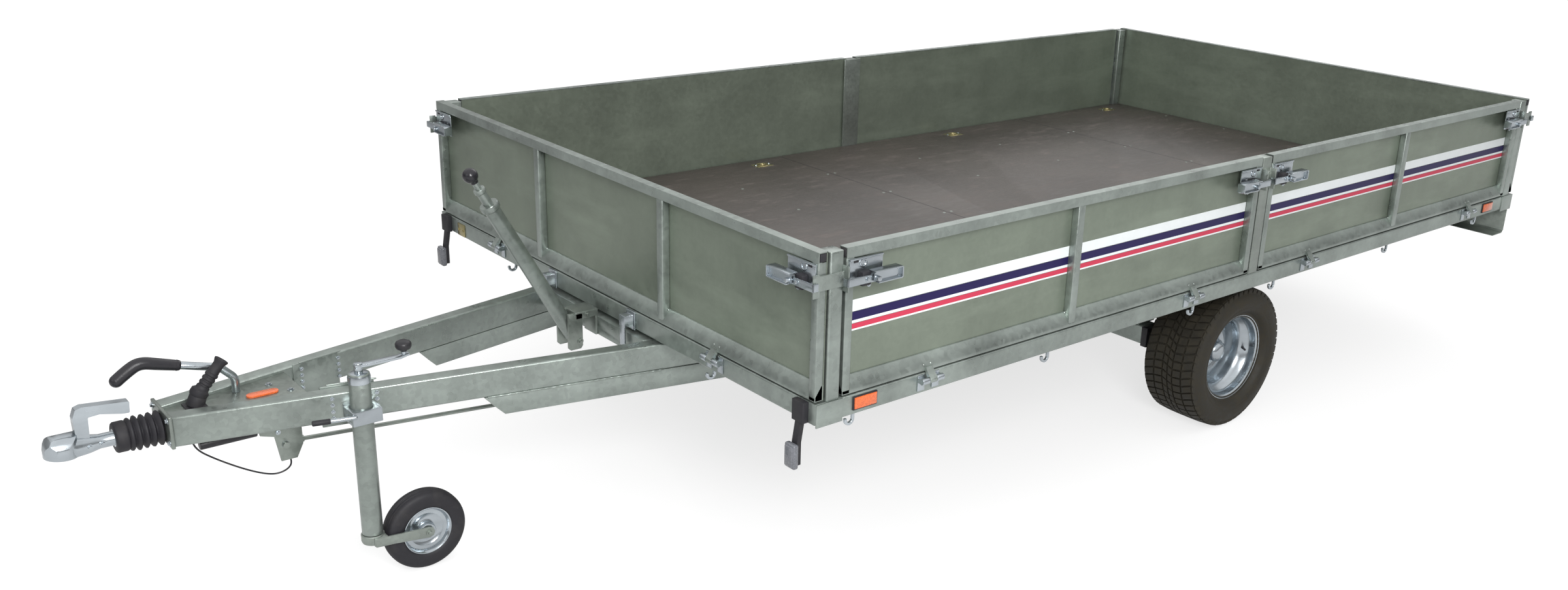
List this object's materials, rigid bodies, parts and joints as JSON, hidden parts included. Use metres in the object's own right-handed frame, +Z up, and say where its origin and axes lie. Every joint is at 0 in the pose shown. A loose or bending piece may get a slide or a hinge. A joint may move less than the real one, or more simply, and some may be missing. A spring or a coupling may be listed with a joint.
{
  "type": "high-bed tilting trailer",
  "caption": "Single-axle high-bed trailer with a tilting plywood bed, hinged galvanised drop boards, braked V drawbar, jockey wheel and tipping jack.",
  "frame": {"origin": "middle of the footprint's bounding box, on the ground", "axes": "+X forward towards the coupling, +Y to the near (left) side, +Z up"},
  "size_m": [4.636, 1.93, 0.9198],
  "materials": {
    "zinc_tube": "hot-dip galvanised tube, dull spangle",
    "zinc_sheet": "galvanised sheet, greenish grey",
    "zinc_plate": "galvanised folded plate",
    "bright_zinc": "bright zinc plate",
    "black_rubber": "matt black rubber",
    "black_grip": "black plastic grip",
    "black_paint": "black paint",
    "orange_lens": "orange reflector",
    "red_lens": "red lamp lens",
    "clear_lens": "clear grey lamp lens",
    "brass_plate": "yellow zinc plate",
    "plywood": "brown film-faced plywood",
    "tyre": "black tyre, worn brown"
  },
  "bodies": {
    "chassis": {"drawbar_arms": "zinc_tube", "lower_rails": "zinc_tube", "chassis_crossmembers": "zinc_tube", "tilt_frame": "zinc_tube", "jack_fork": "zinc_plate", "overrun_housing": "zinc_plate", "coupling_head": "bright_zinc", "coupling_handle": "bright_zinc", "gaiter": "black_rubber", "handbrake_lever": "bright_zinc", "handbrake_grip": "black_grip", "parked_plug": "black_rubber", "drawbar_reflector": "orange_lens", "brake_strut": "black_paint", "brake_gear": "zinc_plate", "breakaway_cable": "black_paint", "axle_tube": "zinc_tube", "axle_brackets": "zinc_plate", "trailing_arms": "black_paint", "jockey_clamp": "bright_zinc"},
    "bed": {"side_beams": "zinc_tube", "end_beams": "zinc_tube", "crossmembers": "zinc_tube", "tilt_crossmember": "zinc_tube", "corner_posts": "zinc_tube", "mid_posts": "zinc_plate", "floor_panel": "plywood", "board_hinge_halves": "bright_zinc", "marker_lamp_arms": "black_rubber", "marker_lamps": "clear_lens", "light_bar": "zinc_plate", "tail_lamps": "red_lens", "side_reflectors": "orange_lens", "rope_hooks": "bright_zinc", "lashing_plates": "brass_plate", "bed_catches": "bright_zinc"},
    "left_wheel": {"left_tyre": "tyre", "left_rim": "bright_zinc"},
    "right_wheel": {"right_tyre": "tyre", "right_rim": "bright_zinc"},
    "jockey_leg": {"jockey_tube": "zinc_tube", "jockey_crank": "bright_zinc"},
    "jockey_caster": {"jockey_fork": "zinc_plate"},
    "jockey_wheel": {"jockey_tyre": "black_rubber", "jockey_rim": "bright_zinc"},
    "jack": {"tipping_jack": "zinc_tube"},
    "front_board": {"front_board_frame": "zinc_tube", "front_board_sheet": "zinc_sheet"},
    "rear_board": {"rear_board_frame": "zinc_tube", "rear_board_sheet": "zinc_sheet"},
    "left_front_board": {"left_front_board_frame": "zinc_tube", "left_front_board_sheet": "zinc_sheet"},
    "left_rear_board": {"left_rear_board_frame": "zinc_tube", "left_rear_board_sheet": "zinc_sheet"},
    "right_front_board": {"right_front_board_frame": "zinc_tube", "right_front_board_sheet": "zinc_sheet"},
    "right_rear_board": {"right_rear_board_frame": "zinc_tube", "right_rear_board_sheet": "zinc_sheet"}
  },
  "joints": [
    {"name": "bed_tilt", "type": "hinge", "parent": "chassis", "child": "bed", "pos_m": [-0.908, 0, 0.446], "axis": [0, -1, 0], "range_deg": [0, 15]},
    {"name": "front_board_drop", "type": "hinge", "parent": "bed", "child": "front_board", "pos_m": [1.007, 0, 0.525], "axis": [0, 1, 0], "range_deg": [0, 38]},
    {"name": "rear_board_drop", "type": "hinge", "parent": "bed", "child": "rear_board", "pos_m": [-2.293, 0, 0.525], "axis": [0, -1, 0], "range_deg": [0, 180]},
    {"name": "left_front_board_drop", "type": "hinge", "parent": "bed", "child": "left_front_board", "pos_m": [0.147, 0.94, 0.525], "axis": [-1, 0, 0], "range_deg": [0, 180]},
    {"name": "left_rear_board_drop", "type": "hinge", "parent": "bed", "child": "left_rear_board", "pos_m": [-1.44, 0.94, 0.525], "axis": [-1, 0, 0], "range_deg": [0, 180]},
    {"name": "left_wheel_spin", "type": "hinge", "parent": "chassis", "child": "left_wheel", "pos_m": [-0.743, 0.762, 0.225], "axis": [0, 1, 0], "continuous": true},
    {"name": "right_front_board_drop", "type": "hinge", "parent": "bed", "child": "right_front_board", "pos_m": [0.147, -0.94, 0.525], "axis": [1, 0, 0], "range_deg": [0, 180]},
    {"name": "right_rear_board_drop", "type": "hinge", "parent": "bed", "child": "right_rear_board", "pos_m": [-1.44, -0.94, 0.525], "axis": [1, 0, 0], "range_deg": [0, 180]},
    {"name": "right_wheel_spin", "type": "hinge", "parent": "chassis", "child": "right_wheel", "pos_m": [-0.743, -0.762, 0.225], "axis": [0, 1, 0], "continuous": true},
    {"name": "jockey_slide", "type": "slide", "parent": "chassis", "child": "jockey_leg", "axis": [0, 0, 1], "range_m": [0, 0.2]},
    {"name": "jockey_swivel", "type": "hinge", "parent": "jockey_leg", "child": "jockey_caster", "pos_m": [1.705, 0.168, 0.12], "axis": [0, 0, 1], "continuous": true},
    {"name": "jockey_spin", "type": "hinge", "parent": "jockey_caster", "child": "jockey_wheel", "pos_m": [1.58, 0.168, 0.1], "axis": [0, 1, 0], "continuous": true},
    {"name": "jack_swing", "type": "hinge", "parent": "chassis", "child": "jack", "pos_m": [1.062, 0, 0.423], "axis": [0, 1, 0], "range_deg": [0, 60]}
  ]
}
